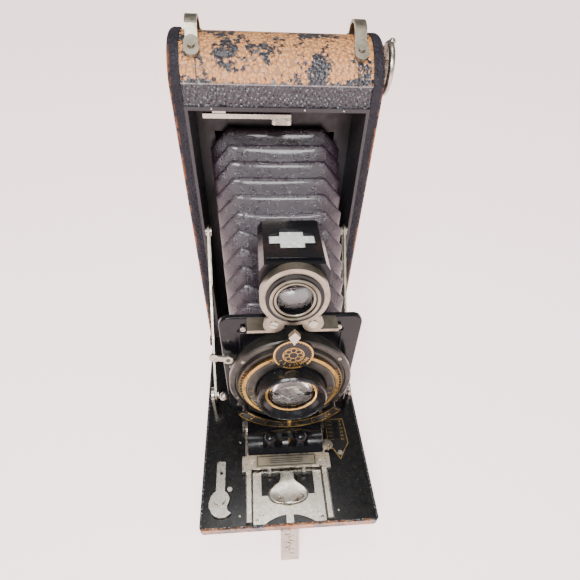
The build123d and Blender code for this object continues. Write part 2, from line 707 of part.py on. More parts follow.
def lenses():
    """Front cell and glass, rear flange and glass."""
    with BuildPart() as bezel:
        turned(
            ((GLASS_R, 6.9), (16.9, 6.9), (16.9, 3.0), (BEZEL_R, -7.8), (16.4, -8.6),
             (15.4, -8.6), (14.6, -6.6), (12.4, -4.4), (GLASS_R, -4.2))
        )
    save(bezel, "lens_bezel")
    with BuildPart() as front:
        with BuildSketch(Plane((BOARD_X, 0, LENS_Z))):
            with BuildLine():
                Line((0, -6.4), (0, 0.4))
                ThreePointArc((0, 0.4), dome(GLASS_R, -0.8, 0.4), (GLASS_R, -0.8))
                Line((GLASS_R, -0.8), (GLASS_R, -3.6))
                ThreePointArc((GLASS_R, -3.6), dome(GLASS_R, -3.6, -6.4), (0, -6.4))
            make_face()
        revolve(axis=Axis((BOARD_X, 0, LENS_Z), (0, 1, 0)))
    save(front, "front_lens")
    with BuildPart() as flange:
        turned(((10.2, 10.4), (11.9, 10.4), (11.9, 14.5), (15.5, 14.5), (15.5, 16.5), (10.2, 16.5)))
    save(flange, "rear_flange")
    with BuildPart() as rear:
        with BuildSketch(Plane((BOARD_X, 0, LENS_Z))):
            with BuildLine():
                Line((0, 11.6), (0, 17.0))
                ThreePointArc((0, 17.0), dome(10.2, 15.4, 17.0), (10.2, 15.4))
                Line((10.2, 15.4), (10.2, 13.2))
                ThreePointArc((10.2, 13.2), dome(10.2, 13.2, 11.6), (0, 11.6))
            make_face()
        revolve(axis=Axis((BOARD_X, 0, LENS_Z), (0, 1, 0)))
    save(rear, "rear_lens")


def dials():
    """Speed dial and pointer, aperture scale and pointer, release lever."""
    dial_up = 26.5
    dial_z = LENS_Z + dial_up
    with BuildPart() as dial:
        with BuildSketch(facing(-1.4, z=dial_z)):
            Circle(9.2)
        extrude(amount=1.1)
        rod_y(BOARD_X, (-1.4, 1.1), dial_z, 1.0)
        for side in (-1, 1):
            spot = polar(20.6, 90 + side * 15)
            rod_y(BOARD_X + spot[0], (-2.9, -1.1), LENS_Z + spot[1], 1.1)
    save(dial, "speed_dial")
    with BuildPart() as pointer:
        with BuildSketch(facing(-0.5, z=dial_z)):
            Circle(2.0)
            with Locations((0, 6.4)):
                Rectangle(1.8, 12.8)
            Circle(1.0 + RUN_GAP, mode=Mode.SUBTRACT)
        extrude(amount=0.7)
        with BuildSketch(facing(-1.1, z=dial_z)):
            with BuildLine():
                Polyline((0, 14.6), (-2.5, 11.6), (-1.4, 9.6), (1.4, 9.6), (2.5, 11.6), (0, 14.6))
            make_face()
        extrude(amount=2.4)
        with BuildSketch(facing(-2.7, z=dial_z)):
            with BuildLine():
                Polyline((-2.2, 11.4), (0, 7.0), (2.2, 11.4), (-2.2, 11.4))
            make_face()
        extrude(amount=0.8)
    save(pointer, "speed_pointer")
    with BuildPart() as scale:
        with BuildSketch(facing(-1.4)):
            with BuildLine():
                CenterArc((0, 0), 33.0, 214, 112)
                CenterArc((0, 0), 27.4, 214, 112)
                for angle in (214, 326):
                    Line(polar(27.4, angle), polar(33.0, angle))
            make_face()
        extrude(amount=0.9)
        for angle in (217, 323):
            spot = polar(29.0, angle)
            rod_y(BOARD_X + spot[0], (-3.1, 2.4), LENS_Z + spot[1], 1.3)
    save(scale, "aperture_scale")
    with BuildPart() as arm:
        with BuildSketch(facing(0.5)):
            Circle(24.0)
            Circle(22.3, mode=Mode.SUBTRACT)
            with Locations((0, -25.2)):
                Rectangle(2.2, 3.8)
        extrude(amount=1.2)
        with BuildSketch(facing(0.5)):
            with Locations((0, -25.9)):
                Rectangle(2.2, 2.0)
        extrude(amount=3.5)
        with BuildSketch(facing(-2.6)):
            with Locations((0, -29.2)):
                Rectangle(1.8, 4.8)
        extrude(amount=0.5)
    save(arm, "aperture_pointer")
    ear = RELEASE_PIVOT
    with BuildPart() as lever:
        with BuildSketch(facing(7.3)):
            with Locations(ear):
                Circle(2.4)
            with Locations((ear[0] - 3.2, ear[1] + 1.0)):
                Rectangle(6.4, 3.0, rotation=-12)
            with Locations((ear[0] - 6.4, ear[1] + 1.7)):
                Circle(2.4)
            with Locations(ear):
                Circle(1.0 + RUN_GAP, mode=Mode.SUBTRACT)
        extrude(amount=1.0)
    save(lever, "release_lever")


def finder():
    """Reversible reflecting finder that swivels in a nickel ring."""
    ring_y = (3.5, 8.0)
    with BuildPart() as bracket:
        rod_y(BOARD_X, ring_y, FINDER_Z, FINDER_R)
        for side in (-1, 1):
            rod_y(BOARD_X + side * 8.4, (3.5, 5.0), 90.4, 4.6)
            tab_x = (BOARD_X + side * 8.0, BOARD_X + side * 20.0)
            block(tab_x, (3.5, 12.0), (85.8, 87.2))
            tab_x = (BOARD_X + side * 14.8, BOARD_X + side * 20.0)
            block(tab_x, (10.8, 12.0), (81.0, 87.2))
            rod_y(BOARD_X + side * 17.2, (9.8, 12.0), 83.9, 2.0)
        rod_y(BOARD_X, ring_y, FINDER_Z, 11.9, Mode.SUBTRACT)
    save(bracket, "finder_bracket")
    low, high = FINDER_Z - 12.2, FINDER_Z + 13.0
    x = (BOARD_X - FINDER_W / 2, BOARD_X + FINDER_W / 2)
    with BuildPart() as box:
        with BuildSketch(facing(41.0, z=FINDER_Z)):
            with BuildLine():
                Polyline(
                    (-9.5, -12.2), (9.5, -12.2), (14, -6.4), (14, 10.0), (12.0, 13.0), (-12.0, 13.0),
                    (-14, 10.0), (-14, -6.4), (-9.5, -12.2),
                )
            make_face()
        extrude(amount=32.7)
        block((x[0] + 1.2, x[1] - 1.2), (9.8, 39.8), (low + 1.2, high - 1.2), Mode.SUBTRACT)
        rod_y(BOARD_X, (2.8, 9.8), FINDER_Z, 11.9 - RUN_GAP)
        rod_y(BOARD_X, (2.0, 11.0), FINDER_Z, 7.4, Mode.SUBTRACT)
        for half_x, half_y in ((9.4, 3.4), (5.0, 6.6)):
            block(
                (BOARD_X - half_x, BOARD_X + half_x),
                (26.0 - half_y, 26.0 + half_y),
                (high - 3, high + 1),
                Mode.SUBTRACT,
            )
    save(box, "finder_box")
    with BuildPart() as glass:
        with BuildSketch(Plane((BOARD_X, 0, FINDER_Z))):
            with BuildLine():
                Polyline((0, 3.0), (0, 7.0), (7.4, 7.0), (7.4, 5.4))
                ThreePointArc((7.4, 5.4), dome(7.4, 5.4, 3.0), (0, 3.0))
            make_face()
        revolve(axis=Axis((BOARD_X, 0, FINDER_Z), (0, 1, 0)))
        block((x[0] + 2.2, x[1] - 2.2), (16.0, 36.0), (high - 2.4, high - 1.2))
    save(glass, "finder_glass")
    with BuildPart() as mirror:
        with BuildSketch(Plane.YZ.offset(BOARD_X - 11.0)):
            with BuildLine():
                Polyline((38.6, 113.0), (39.8, 113.0), (39.8, 112.0), (18.6, 93.0), (17.2, 93.0),
                         (38.6, 113.0))
            make_face()
        extrude(amount=22.0)
    save(mirror, "finder_mirror")


def focus_lever():
    """Thumb lever at the front of the carriage that locks the focus."""
    with BuildPart() as lever:
        with BuildSketch(Plane.XY.offset(LEVER_PIVOT[1] - 0.6)):
            with Locations((0, -26.5)):
                Rectangle(9.0, 7.4)
            with BuildLine():
                Polyline((-4.5, -29.0), (4.5, -29.0), (10.8, -34.4))
                ThreePointArc((10.8, -34.4), (7.2, -40.0), (0, -42.2))
                ThreePointArc((0, -42.2), (-7.2, -40.0), (-10.8, -34.4))
                Line((-10.8, -34.4), (-4.5, -29.0))
            make_face()
        extrude(amount=1.2)
        rod_x((-9.8, 9.8), *LEVER_PIVOT, 0.9)
    save(lever, "focus_lever")


def bellows():
    """Leather bellows from the liner to the lens board."""
    rear = (70.0, 118.0)
    front = (56.0, 48.0)
    wall = 4.5
    with BuildPart() as sleeve:
        with BuildSketch(facing(LINER_BACK, x=0, z=MID_Z)):
            Rectangle(*rear)
        with BuildSketch(facing(17.0, z=LENS_Z)):
            Rectangle(*front)
        loft()
        with BuildSketch(facing(LINER_BACK + 0.5, x=0, z=MID_Z)):
            Rectangle(rear[0] - 2 * wall, rear[1] - 2 * wall)
        with BuildSketch(facing(16.8, z=LENS_Z)):
            Rectangle(front[0] - 2 * wall, front[1] - 2 * wall)
        loft(mode=Mode.SUBTRACT)
    save(sleeve, "bellows")


side_shell("side_shell_left", -1, key_hole=False)
side_shell("side_shell_right", 1, key_hole=True)
chamber_shell("upper_chamber_shell", 1)
chamber_shell("lower_chamber_shell", -1)
opening_liner()
film_gate()
roller("roller_upper", 1)
roller("roller_lower", -1)
latch_bar()
strap_loops()
hinge_lugs()
side_tripod_bush()
spool_centres()
strut_pins()
spool("take_up_spool", 1, driven=True)
spool("supply_spool", -1, driven=False)
winding_key()
back()
bed()
focus_rails()
track_plate()
focus_scale_plate()
bed_fasteners()
bed_catch()
foot()
struts()
carriage()
lens_board()
shutter()
lenses()
dials()
finder()
focus_lever()
bellows()
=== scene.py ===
"""Looks of the folding camera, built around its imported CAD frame."""
import math
import random

import bmesh
import bpy
from mathutils import Matrix, Vector


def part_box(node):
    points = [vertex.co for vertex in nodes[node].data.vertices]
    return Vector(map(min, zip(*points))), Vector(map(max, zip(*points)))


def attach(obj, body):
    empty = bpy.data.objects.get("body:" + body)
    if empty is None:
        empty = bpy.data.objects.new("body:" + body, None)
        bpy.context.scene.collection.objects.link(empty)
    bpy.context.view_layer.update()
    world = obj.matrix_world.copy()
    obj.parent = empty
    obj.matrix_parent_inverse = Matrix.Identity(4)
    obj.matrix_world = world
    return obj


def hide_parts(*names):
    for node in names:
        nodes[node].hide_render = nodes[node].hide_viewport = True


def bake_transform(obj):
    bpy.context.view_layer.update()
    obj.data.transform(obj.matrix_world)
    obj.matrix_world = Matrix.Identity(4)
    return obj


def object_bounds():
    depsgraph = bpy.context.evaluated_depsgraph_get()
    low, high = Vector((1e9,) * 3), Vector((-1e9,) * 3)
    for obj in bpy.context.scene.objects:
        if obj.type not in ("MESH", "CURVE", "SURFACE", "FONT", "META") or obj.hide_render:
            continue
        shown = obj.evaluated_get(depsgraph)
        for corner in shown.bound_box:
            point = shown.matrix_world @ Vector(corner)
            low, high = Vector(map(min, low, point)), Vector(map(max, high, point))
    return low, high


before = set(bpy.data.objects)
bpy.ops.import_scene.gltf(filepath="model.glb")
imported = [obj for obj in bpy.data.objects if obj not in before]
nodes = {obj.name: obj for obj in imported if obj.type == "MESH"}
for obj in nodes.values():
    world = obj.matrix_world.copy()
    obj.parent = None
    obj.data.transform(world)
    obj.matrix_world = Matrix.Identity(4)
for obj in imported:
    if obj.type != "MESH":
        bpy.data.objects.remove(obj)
cad_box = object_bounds()

# ---- driving sizes, in drawing units: 1/95 of the body's width ----
BODY_HALF = 47.5
UNIT = (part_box("side_shell_right")[1].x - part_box("side_shell_left")[0].x) / (2 * BODY_HALF)


def units(node):
    """Lowest and highest corner of a CAD node, in drawing units."""
    low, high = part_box(node)
    return low / UNIT, high / UNIT


RINGS_LOW, RINGS_HIGH = units("shutter_rings")
LINER_LOW, LINER_HIGH = units("opening_liner")
BOARD_LOW = units("lens_board")[0]
PANEL_TOP = units("bed_panel")[1].z
CROWN_RISE = 14.2  # height of the arched end above its ridge
RIDGE_Z = units("upper_chamber_shell")[1].z - CROWN_RISE
LENS = ((RINGS_LOW.x + RINGS_HIGH.x) / 2, (RINGS_LOW.z + RINGS_HIGH.z) / 2)
FRONT_Y = 85.0  # front plane of the body, in drawing units
HALF_DEPTH = 22.25  # half the body's depth
SKIN_INSET = 0.8  # covered ends sit this far inside the side shells
FINDER_Z = LENS[1] + 53.0
MIDDLE_Z = (LINER_LOW.z + LINER_HIGH.z) / 2
rng = random.Random(7)


# ------------------------------------------------------------- materials
class Shader:
    """A node material under construction, with one Principled shader."""

    def __init__(self, name, **sockets):
        self.material = bpy.data.materials.new(name)
        self.material.use_nodes = True
        self.tree = self.material.node_tree
        self.shader = self.tree.nodes["Principled BSDF"]
        for socket, value in sockets.items():
            self.shader.inputs[socket.replace("_", " ")].default_value = value
        self.place = self.tree.nodes.new("ShaderNodeTexCoord").outputs["Object"]

    def link(self, output, socket):
        self.tree.links.new(output, socket)

    def noise(self, scale, detail=4.0, rough=0.55):
        node = self.tree.nodes.new("ShaderNodeTexNoise")
        node.inputs["Scale"].default_value = scale
        node.inputs["Detail"].default_value = detail
        node.inputs["Roughness"].default_value = rough
        self.link(self.place, node.inputs["Vector"])
        return node.outputs["Fac"]

    def cells(self, scale, feature="F1", output="Distance"):
        node = self.tree.nodes.new("ShaderNodeTexVoronoi")
        node.feature = feature
        node.inputs["Scale"].default_value = scale
        self.link(self.place, node.inputs["Vector"])
        return node.outputs[output]

    def axis(self, name):
        node = self.tree.nodes.new("ShaderNodeSeparateXYZ")
        self.link(self.place, node.inputs[0])
        return node.outputs[name]

    def math(self, operation, a, b=0.0, clamp=False):
        node = self.tree.nodes.new("ShaderNodeMath")
        node.operation = operation
        node.use_clamp = clamp
        for socket, value in zip(node.inputs, (a, b)):
            if isinstance(value, (int, float)):
                socket.default_value = value
            else:
                self.link(value, socket)
        return node.outputs[0]

    def step(self, value, low, high, to_low=0.0, to_high=1.0):
        node = self.tree.nodes.new("ShaderNodeMapRange")
        ends = {"From Min": low, "From Max": high, "To Min": to_low, "To Max": to_high}
        for name, number in ends.items():
            node.inputs[name].default_value = number
        self.link(value, node.inputs["Value"])
        return node.outputs["Result"]

    def mix(self, share, a, b):
        node = self.tree.nodes.new("ShaderNodeMix")
        node.data_type = "RGBA"
        self.link(share, node.inputs[0])
        for socket, value in ((node.inputs[6], a), (node.inputs[7], b)):
            if isinstance(value, tuple):
                socket.default_value = (*value, 1.0)
            else:
                self.link(value, socket)
        return node.outputs[2]

    def bump(self, height, strength, distance):
        node = self.tree.nodes.new("ShaderNodeBump")
        node.inputs["Strength"].default_value = strength
        node.inputs["Distance"].default_value = distance
        self.link(height, node.inputs["Height"])
        self.link(node.outputs["Normal"], self.shader.inputs["Normal"])

    def color(self, output):
        self.link(output, self.shader.inputs["Base Color"])

    def rough(self, output):
        self.link(output, self.shader.inputs["Roughness"])


BLACK = (0.005, 0.005, 0.007)
TAN = (0.60, 0.235, 0.062)
RUST = (0.15, 0.040, 0.012)
GRAIN = 500.0  # leather pebbles per metre
EDGE_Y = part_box("side_shell_left")[0].y  # front plane of the body, in metres


def leather(name, worn, edge_x=None, edge_y=None, gloss=0.8, rough=0.26):
    """Pebble-grained black leather; the worn share shows tan grain tops."""
    s = Shader(name, Specular_IOR_Level=gloss)
    grain = s.cells(GRAIN)
    fine = s.noise(1500.0, 3.0)
    height = s.math("ADD", s.step(grain, 0.0, 0.75, 1.0, 0.0), s.math("MULTIPLY", fine, 0.25))
    s.bump(height, 0.9, 0.0008)
    tone = s.mix(s.noise(90.0), BLACK, (0.034, 0.030, 0.040))
    patches = s.math("ADD", s.noise(58.0, 6.0, 0.7), s.math("MULTIPLY", s.cells(GRAIN, output="Color"), 0.16))
    flecks = s.math("SUBTRACT", s.noise(330.0, 5.0, 0.75), 0.5)
    patches = s.math("ADD", patches, s.math("MULTIPLY", flecks, 0.34))
    if worn == "crown":
        high = s.step(s.axis("Z"), RIDGE_Z * UNIT, (RIDGE_Z + 0.8) * UNIT)
        low_fade = s.step(s.axis("Z"), RIDGE_Z * UNIT, (RIDGE_Z + 4.0) * UNIT, -0.06, 0.0)
        bare = s.step(s.math("ADD", patches, low_fade), 0.540, 0.572)
        tops = s.step(s.math("ADD", grain, s.math("MULTIPLY", fine, 0.3)), 0.60, 0.86, 1.0, 0.5)
        bare = s.math("MULTIPLY", s.math("MULTIPLY", bare, tops), high, clamp=True)
        tone = s.mix(bare, tone, s.mix(s.noise(300.0), TAN, (0.70, 0.33, 0.115)))
        # painted highlight: a light grey line along the ridge where the arched end meets the front band
        edge = s.math("ABSOLUTE", s.math("SUBTRACT", s.axis("Z"), RIDGE_Z * UNIT))
        line = s.step(edge, 0.0, 0.35 * UNIT, 0.8, 0.0)
        tone = s.mix(line, tone, (0.36, 0.31, 0.30))
    if edge_x is not None:
        side = s.math("ABSOLUTE", s.axis("X"))
        band = s.step(side, edge_x - 1.9 * UNIT, edge_x - 0.7 * UNIT)
        face = s.step(side, edge_x - 0.35 * UNIT, edge_x - 0.05 * UNIT)
        front = s.step(s.axis("Y"), EDGE_Y + 5.0 * UNIT, EDGE_Y + 0.5 * UNIT)
        kept = s.math("SUBTRACT", 1.0, s.math("MULTIPLY", face, s.math("SUBTRACT", 1.0, front)), clamp=True)
        rim = s.math("MULTIPLY", s.math("MULTIPLY", band, kept), s.step(patches, 0.55, 0.64), clamp=True)
        scuff = s.math("MULTIPLY", face, s.step(patches, 0.62, 0.68), clamp=True)
        rubbed = s.math("MAXIMUM", rim, s.math("MULTIPLY", scuff, 0.6), clamp=True)
        tone = s.mix(rubbed, tone, s.mix(s.noise(160.0), RUST, (0.42, 0.155, 0.05)))
    if edge_y is not None:
        rim = s.step(s.axis("Y"), edge_y + 1.6 * UNIT, edge_y + 0.1 * UNIT)
        rubbed = s.math("MULTIPLY", rim, s.step(patches, 0.52, 0.62), clamp=True)
        tone = s.mix(rubbed, tone, s.mix(s.noise(160.0), RUST, TAN))
    s.color(tone)
    s.rough(s.step(s.noise(240.0), 0.3, 0.7, rough, rough + 0.2))
    return s.material


def metal(name, base, dull, rough, grime=0.45, scratch=0.06, metallic=1.0):
    """Plated or bare metal with tarnish patches and fine scratches."""
    s = Shader(name, Metallic=metallic)
    patch = s.step(s.noise(110.0, 6.0, 0.6), 0.40, 0.70)
    s.color(s.mix(s.math("MULTIPLY", patch, grime), base, dull))
    s.rough(s.step(s.noise(420.0, 5.0), 0.3, 0.7, rough, rough + 0.2))
    s.bump(s.noise(1900.0, 2.0), scratch, 0.00004)
    return s.material


def enamel(name, base, rough, speck=None, mottle=None, gloss=0.25):
    """Black paint: faint orange peel, dust specks and rubbed patches."""
    s = Shader(name, Specular_IOR_Level=gloss, Coat_Weight=0.12, Coat_Roughness=rough * 0.6)
    tone = s.mix(s.noise(70.0), base, tuple(c * 1.6 + 0.001 for c in base))
    if mottle:
        tone = s.mix(s.step(s.noise(330.0, 6.0, 0.7), 0.50, 0.66), tone, mottle)
    if speck:
        dots = s.step(s.cells(420.0), 0.055, 0.085, 1.0, 0.0)
        some = s.step(s.noise(45.0), 0.47, 0.60)
        tone = s.mix(s.math("MULTIPLY", dots, some, clamp=True), tone, speck)
    s.color(tone)
    s.rough(s.step(s.noise(260.0, 5.0), 0.3, 0.7, rough, rough + 0.16))
    s.bump(s.noise(800.0, 2.0), 0.12, 0.0002)
    return s.material


def bellows_leather():
    s = Shader("bellows_leather", Specular_IOR_Level=0.75, Coat_Weight=0.45, Coat_Roughness=0.12)
    tone = s.mix(s.noise(120.0, 5.0), (0.009, 0.004, 0.008), (0.036, 0.020, 0.032))
    s.color(s.mix(s.step(s.noise(520.0, 6.0, 0.7), 0.62, 0.76), tone, (0.12, 0.095, 0.10)))
    s.rough(s.step(s.noise(300.0), 0.3, 0.7, 0.22, 0.38))
    grain = s.math("ADD", s.cells(1500.0), s.noise(260.0, 6.0))
    s.bump(grain, 0.5, 0.0006)
    return s.material


def clear(name, tint, rough=0.02):
    s = Shader(name, Transmission_Weight=1.0, IOR=1.5)
    s.color(s.mix(s.noise(60.0), tint, tuple(min(1.0, c * 1.04) for c in tint)))
    s.rough(s.step(s.noise(900.0), 0.3, 0.7, rough, rough + 0.03))
    return s.material


def wood():
    s = Shader("spool_wood", Coat_Weight=0.2, Coat_Roughness=0.3)
    s.color(s.mix(s.step(s.noise(130.0, 8.0, 0.7), 0.35, 0.65), (0.11, 0.045, 0.018), (0.30, 0.15, 0.065)))
    s.rough(s.step(s.noise(300.0), 0.3, 0.7, 0.35, 0.55))
    s.bump(s.noise(900.0), 0.2, 0.0002)
    return s.material


OUTER_X = BODY_HALF * UNIT
MATERIALS = {
    "leather_black": leather("leather_black", None),
    "leather_side": leather("leather_side", None, edge_x=OUTER_X, gloss=0.2, rough=0.5),
    "leather_bed": leather("leather_bed", None, edge_y=units("bed_leather")[0].y * UNIT),
    "leather_worn": leather("leather_worn", "crown"),
    "bellows_leather": bellows_leather(),
    "nickel": metal("nickel", (0.52, 0.48, 0.42), (0.24, 0.20, 0.16), 0.20),
    "dull_nickel": metal("dull_nickel", (0.36, 0.325, 0.255), (0.17, 0.14, 0.10), 0.30, 0.7),
    "steel": metal("steel", (0.46, 0.46, 0.46), (0.25, 0.24, 0.23), 0.25),
    "brass": metal("brass", (0.60, 0.38, 0.13), (0.26, 0.15, 0.05), 0.22),
    "shutter_metal": metal(
        "shutter_metal", (0.088, 0.082, 0.073), (0.028, 0.026, 0.024), 0.27, 0.8, metallic=0.8
    ),
    "mirror": metal("mirror", (0.80, 0.81, 0.82), (0.60, 0.60, 0.60), 0.04, 0.3, 0.02),
    "black_enamel": enamel("black_enamel", (0.003, 0.003, 0.004), 0.12, (0.10, 0.09, 0.09)),
    "black_lacquer": enamel(
        "black_lacquer", (0.003, 0.003, 0.003), 0.17, (0.15, 0.12, 0.10), (0.012, 0.009, 0.008)
    ),
    "liner_black": enamel("liner_black", (0.017, 0.015, 0.018), 0.36, (0.08, 0.07, 0.07), gloss=0.5),
    "chipped_black": enamel("chipped_black", (0.005, 0.005, 0.006), 0.16, (0.40, 0.39, 0.38)),
    "dial_black": enamel("dial_black", (0.005, 0.005, 0.005), 0.28, None, (0.018, 0.013, 0.008)),
    "glass": clear("glass", (0.93, 0.95, 0.93)),
    "ruby_glass": clear("ruby_glass", (0.42, 0.012, 0.012), 0.05),
    # painted reflection: near-white mottled paint that stands in for the glare on the finder's top window
    "finder_glare_paint": enamel("finder_glare_paint", (0.46, 0.46, 0.45), 0.18, None, (0.93, 0.93, 0.92)),
    "spool_wood": wood(),
    "backing_paper": enamel("backing_paper", (0.16, 0.012, 0.010), 0.6, None, (0.22, 0.03, 0.02)),
}
MATERIAL_OF = {
    "leather_side": ("side_shell_left", "side_shell_right"),
    "leather_worn": ("upper_chamber_shell",),
    "leather_black": ("lower_chamber_shell", "back_cover"),
    "leather_bed": ("bed_leather",),
    "liner_black": ("opening_liner", "film_gate", "pressure_plate", "hinge_lugs"),
    "black_lacquer": ("bed_panel",),
    "black_enamel": (
        "carriage_block", "lens_board", "finder_box", "pinch_knob_left", "pinch_knob_right",
    ),
    "chipped_black": ("lens_bezel",),
    "shutter_metal": ("shutter_case", "shutter_rings", "shutter_blades", "iris_leaves"),
    "dial_black": ("speed_dial", "aperture_scale", "focus_scale_plate"),
    "dull_nickel": (
        "strap_loops", "foot_bracket", "finder_bracket", "number_plate", "spool_centres", "side_struts",
    ),
    "brass": ("side_tripod_bush", "bed_tripod_bush", "rear_flange", "aperture_pointer"),
    "steel": ("bed_hinge_pin", "roller_upper", "roller_lower"),
    "glass": ("front_lens", "rear_lens", "finder_glass"),
    "ruby_glass": ("ruby_window",),
    "mirror": ("finder_mirror",),
    "spool_wood": ("supply_spool", "take_up_spool"),
}
material_for = {node: name for name, group in MATERIAL_OF.items() for node in group}
for name, node in nodes.items():
    node.data.materials.clear()
    node.data.materials.append(MATERIALS[material_for.get(name, "nickel")])


# ---------------------------------------------------------------- pieces
class Plane:
    """A drawing plane: across and up in drawing units, out along its normal."""

    def __init__(self, origin, across, up):
        self.origin = Vector(origin)
        self.across = Vector(across).normalized()
        self.up = Vector(up).normalized()
        self.out = self.across.cross(self.up)

    def point(self, a, b, out=0.0):
        return (self.origin + self.across * a + self.up * b + self.out * out) * UNIT

    def matrix(self, a, b, out, turn=0.0):
        base = Matrix((self.across, self.up, self.out)).transposed().to_4x4()
        return Matrix.Translation(self.point(a, b, out)) @ base @ Matrix.Rotation(turn, 4, "Z")


def facing(y, x=LENS[0], z=LENS[1]):
    return Plane((x, y, z), (1, 0, 0), (0, 0, 1))


def flat(z, x=0.0, y=0.0):
    return Plane((x, y, z), (1, 0, 0), (0, 1, 0))


def polar(r, angle):
    """A point at radius r and an angle in degrees, as (across, up)."""
    return (r * math.cos(math.radians(angle)), r * math.sin(math.radians(angle)))


def arc(r, start, stop, count=24, centre=(0.0, 0.0)):
    """Points along an arc, with its angles in degrees."""
    turns = [math.radians(start + (stop - start) * i / count) for i in range(count + 1)]
    return [(centre[0] + r * math.cos(t), centre[1] + r * math.sin(t)) for t in turns]


class Piece:
    """Small solids gathered into one mesh that rides on one body."""

    def __init__(self, name, material, body, slot):
        self.name, self.material, self.body, self.slot = name, material, body, slot
        self.mesh = bmesh.new()

    def prism(self, plane, outline, low, high):
        bottom = [self.mesh.verts.new(plane.point(a, b, low)) for a, b in outline]
        top = [self.mesh.verts.new(plane.point(a, b, high)) for a, b in outline]
        self.mesh.faces.new(list(reversed(bottom)))
        self.mesh.faces.new(top)
        for i in range(len(outline)):
            j = (i + 1) % len(outline)
            self.mesh.faces.new((bottom[i], bottom[j], top[j], top[i]))

    def strip(self, plane, inner, outer, low, high):
        """A curved band between two point rows of equal length."""
        for i in range(len(inner) - 1):
            self.prism(plane, [inner[i], outer[i], outer[i + 1], inner[i + 1]], low, high)

    def turned(self, plane, profile, count=40, centre=(0.0, 0.0)):
        """Turn (radius, out) points about the plane's normal."""
        rows = []
        for i in range(count):
            t = 2 * math.pi * i / count
            rows.append([
                self.mesh.verts.new(
                    plane.point(centre[0] + r * math.cos(t), centre[1] + r * math.sin(t), out)
                )
                for r, out in profile
            ])
        for i in range(count):
            here, there = rows[i], rows[(i + 1) % count]
            for k in range(len(profile) - 1):
                self.mesh.faces.new((here[k], there[k], there[k + 1], here[k + 1]))

    def screw(self, plane, a, b, r, rise=0.8, turn=35.0):
        """A countersunk head with its slot left open between two halves."""
        gap = math.degrees(math.asin(0.16))
        for half in (0, 180):
            row = arc(r, turn + half + gap, turn + half + 180 - gap, 14, (a, b))
            self.prism(plane, row, 0.0, rise)
        self.prism(plane, arc(r * 0.98, 0, 345, 23, (a, b)), 0.0, rise * 0.45)

    def rivet(self, plane, a, b, r, rise=0.6):
        steps = [math.radians(90 * i / 6) for i in range(7)]
        profile = [(max(r * math.cos(t), 0.01), rise * math.sin(t)) for t in steps]
        self.turned(plane, profile, 20, (a, b))

    def number(self, plane, text, a, b, size, turn=0.0, rise=0.12):
        curve = bpy.data.curves.new("figure", "FONT")
        curve.body = text
        curve.size = size * UNIT
        curve.extrude = rise * UNIT / 2
        curve.align_x = "CENTER"
        curve.align_y = "CENTER"
        curve.resolution_u = 3
        holder = bpy.data.objects.new("figure", curve)
        bpy.context.scene.collection.objects.link(holder)
        solid = bpy.data.meshes.new_from_object(holder)
        solid.transform(plane.matrix(a, b, rise / 2, math.radians(turn)))
        self.mesh.from_mesh(solid)
        bpy.data.objects.remove(holder)
        bpy.data.curves.remove(curve)
        bpy.data.meshes.remove(solid)

    def finish(self, bevel=0.0, smooth=True):
        data = bpy.data.meshes.new(self.name)
        bmesh.ops.recalc_face_normals(self.mesh, faces=self.mesh.faces)
        self.mesh.to_mesh(data)
        self.mesh.free()
        piece = bpy.data.objects.new(self.name, data)
        bpy.context.scene.collection.objects.link(piece)
        data.materials.append(MATERIALS[self.material])
        if smooth:
            data.shade_smooth()
            data.set_sharp_from_angle(angle=math.radians(38))
        if bevel:
            edge = piece.modifiers.new("edge", "BEVEL")
            edge.width = bevel * UNIT
            edge.segments = 2
            edge.limit_method = "ANGLE"
        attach(piece, self.body)
        return piece


# --------------------------------------------------------------- bellows
PLEATS = 12
PLEAT_DEPTH = 6.4
BELLOWS_REAR = (113.4, 0.0, MIDDLE_Z, 35.0, 59.0)  # y, centre x, centre z, half width, half height
BELLOWS_FRONT = (15.6, LENS[0], LENS[1], 28.0, 24.0)
BELLOWS_SPLIT = 62.0
SAG = 5.5  # the pleats lie this much lower under the finder
SAG_Y = (50.0, 24.0)  # middle and half length of the sag
SAG_X = (10.5, 11.0)  # half width of its flat part, then of its slope
pleat_sway = [rng.uniform(-0.5, 0.5) for _ in range(PLEATS + 1)]


def ease(t):
    """Smooth rise from 0 to 1."""
    t = min(1.0, max(0.0, t))
    return t * t * (3 - 2 * t)


def sag(x, y):
    """How far the top of the bellows is pressed down to clear the finder."""
    along = ease(1.6 * (1 - abs(y - SAG_Y[0]) / SAG_Y[1]))
    return SAG * along * (1 - ease((abs(x - LENS[0]) - SAG_X[0]) / SAG_X[1]))


